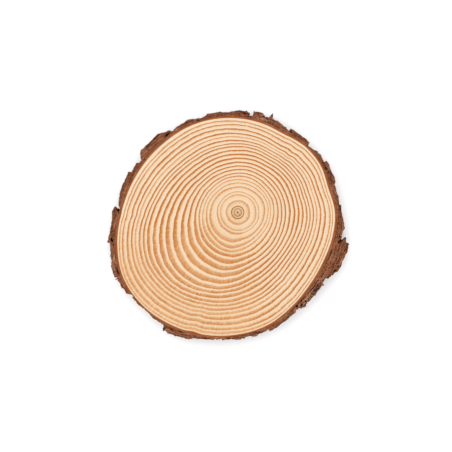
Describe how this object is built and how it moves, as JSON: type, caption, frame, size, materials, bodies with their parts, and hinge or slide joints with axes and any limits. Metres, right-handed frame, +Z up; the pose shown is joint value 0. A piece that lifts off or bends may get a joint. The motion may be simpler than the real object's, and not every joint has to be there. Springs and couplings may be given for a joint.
{
  "type": "wood slice",
  "caption": "Thin round slice sawn across a young pine trunk, with its rough bark still on, lying flat as a coaster or a display base.",
  "frame": {"origin": "centre of the slice's bounding box, on its underside", "axes": "+Z up through the thickness, +X along the slice's widest way; the pith lies towards +X and +Y of the middle"},
  "size_m": [0.1224, 0.1176, 0.012],
  "materials": {
    "cut_wood": "sanded end grain, matt, unvarnished",
    "bark": "rough, dry, scaly, fully matt"
  },
  "bodies": {
    "root": {"wood_slice": "cut_wood"}
  },
  "joints": []
}
